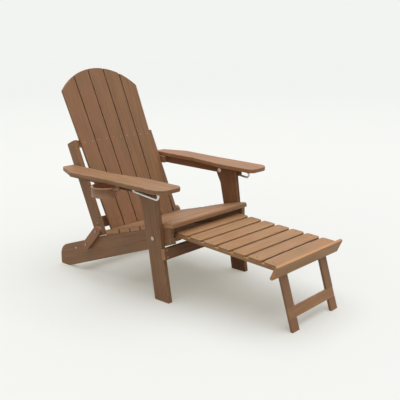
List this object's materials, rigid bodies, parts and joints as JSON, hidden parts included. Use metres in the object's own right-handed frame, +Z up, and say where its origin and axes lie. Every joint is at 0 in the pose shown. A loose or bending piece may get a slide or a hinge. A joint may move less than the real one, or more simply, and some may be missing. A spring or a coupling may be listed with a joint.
{
  "type": "folding slatted lounge chair",
  "caption": "Low reclined slatted garden lounge chair with wide arms, folding frame, pull-out footrest on folding legs and a swing-out cup holder.",
  "frame": {"origin": "on the floor, under the middle of the bounding box with the footrest pulled out", "axes": "the chair faces -Y, +X is the sitter's left, +Z is up"},
  "size_m": [0.8253, 1.4072, 1.0001],
  "materials": {
    "side_lumber": "satin",
    "slat_lumber": "satin",
    "arm_lumber": "satin",
    "steel": "satin",
    "cup_plastic": "matte"
  },
  "bodies": {
    "frame": {"stringer_right": "side_lumber", "stringer_left": "side_lumber", "seat_slat_1": "slat_lumber", "seat_slat_2": "slat_lumber", "seat_slat_3": "slat_lumber", "seat_slat_4": "slat_lumber", "seat_slat_5": "slat_lumber", "seat_slat_6": "slat_lumber", "rear_foot_bar": "side_lumber", "footrest_guide_right": "side_lumber", "footrest_guide_left": "side_lumber", "stringer_pivot_bolts": "steel"},
    "front_legs": {"front_leg_right": "side_lumber", "front_leg_left": "side_lumber", "leg_stretcher": "side_lumber"},
    "arm_right": {"armrest_right": "arm_lumber", "arm_rail_right": "side_lumber", "arm_spacer_right": "side_lumber", "arm_bolts_right": "steel", "cup_holder_bolt": "steel"},
    "arm_left": {"armrest_left": "arm_lumber", "arm_rail_left": "side_lumber", "arm_spacer_left": "side_lumber", "arm_bolts_left": "steel"},
    "bail_right": {"bail_right": "steel"},
    "bail_left": {"bail_left": "steel"},
    "link_right": {"back_link_right": "side_lumber"},
    "link_left": {"back_link_left": "side_lumber"},
    "back": {"back_post_right": "side_lumber", "back_post_left": "side_lumber", "back_upper_brace": "side_lumber", "back_lower_brace": "side_lumber", "link_bolts": "steel", "back_slat_1": "slat_lumber", "back_slat_2": "slat_lumber", "back_slat_3": "slat_lumber", "back_slat_4": "slat_lumber", "back_slat_5": "slat_lumber"},
    "footrest_runner": {"footrest_rod": "steel"},
    "footrest": {"footrest_slat_1": "slat_lumber", "footrest_slat_2": "slat_lumber", "footrest_slat_3": "slat_lumber", "footrest_slat_4": "slat_lumber", "footrest_slat_5": "slat_lumber", "footrest_slat_6": "slat_lumber", "footrest_slat_7": "slat_lumber", "footrest_rail_right": "side_lumber", "footrest_rail_left": "side_lumber", "footrest_block_right": "side_lumber", "footrest_block_left": "side_lumber", "footrest_apron": "side_lumber", "footrest_leg_pins": "steel"},
    "footrest_legs": {"footrest_leg_right": "side_lumber", "footrest_leg_left": "side_lumber", "footrest_crossbar": "side_lumber"},
    "cup_holder": {"cup_holder": "cup_plastic"}
  },
  "joints": [
    {"name": "fold", "type": "hinge", "parent": "frame", "child": "front_legs", "pos_m": [0.01935, -0.02736, 0.285], "axis": [1, 0, 0], "range_deg": [0, 79]},
    {"name": "arm_right_fold", "type": "hinge", "parent": "front_legs", "child": "arm_right", "pos_m": [0.01935, 0.05164, 0.50125], "axis": [1, 0, 0], "range_deg": [-78.64, 0]},
    {"name": "arm_left_fold", "type": "hinge", "parent": "front_legs", "child": "arm_left", "pos_m": [0.01935, 0.05164, 0.50125], "axis": [1, 0, 0], "range_deg": [-78.64, 0]},
    {"name": "link_right_fold", "type": "hinge", "parent": "frame", "child": "link_right", "pos_m": [0.01935, 0.45664, 0.156], "axis": [1, 0, 0], "range_deg": [-48.22, 0]},
    {"name": "link_left_fold", "type": "hinge", "parent": "frame", "child": "link_left", "pos_m": [0.01935, 0.45664, 0.156], "axis": [1, 0, 0], "range_deg": [-48.22, 0]},
    {"name": "back_fold", "type": "hinge", "parent": "link_right", "child": "back", "pos_m": [0.01935, 0.37564, 0.239], "axis": [1, 0, 0], "range_deg": [0, 130.22]},
    {"name": "footrest_slide", "type": "slide", "parent": "frame", "child": "footrest_runner", "axis": [0, 0.9679, -0.2514], "range_m": [0, 0.50522]},
    {"name": "footrest_tilt", "type": "hinge", "parent": "footrest_runner", "child": "footrest", "pos_m": [0.01935, -0.08839, 0.28388], "axis": [1, 0, 0], "range_deg": [-18.8, 0]},
    {"name": "footrest_legs_fold", "type": "hinge", "parent": "footrest", "child": "footrest_legs", "pos_m": [0.01935, -0.61616, 0.269], "axis": [1, 0, 0], "range_deg": [0, 110.1]},
    {"name": "bail_right_swing", "type": "hinge", "parent": "arm_right", "child": "bail_right", "pos_m": [-0.29055, 0.05164, 0.50125], "axis": [1, 0, 0], "range_deg": [0, 90]},
    {"name": "bail_left_swing", "type": "hinge", "parent": "arm_left", "child": "bail_left", "pos_m": [0.32925, 0.05164, 0.50125], "axis": [1, 0, 0], "range_deg": [0, 90]},
    {"name": "cup_holder_swing", "type": "hinge", "parent": "arm_right", "child": "cup_holder", "pos_m": [-0.33265, 0.1158, 0.49434], "axis": [0, -0.0209, 0.9998], "range_deg": [0, 100]}
  ],
  "couplings": [
    {"joint": "arm_right_fold", "follows": "fold", "ratio": -0.98906},
    {"joint": "arm_left_fold", "follows": "fold", "ratio": -0.98906},
    {"joint": "link_right_fold", "follows": "fold", "ratio": -0.60405},
    {"joint": "link_left_fold", "follows": "fold", "ratio": -0.60405},
    {"joint": "back_fold", "follows": "fold", "ratio": 1.642},
    {"joint": "footrest_tilt", "follows": "footrest_slide", "rad_per_m": -0.6391}
  ]
}
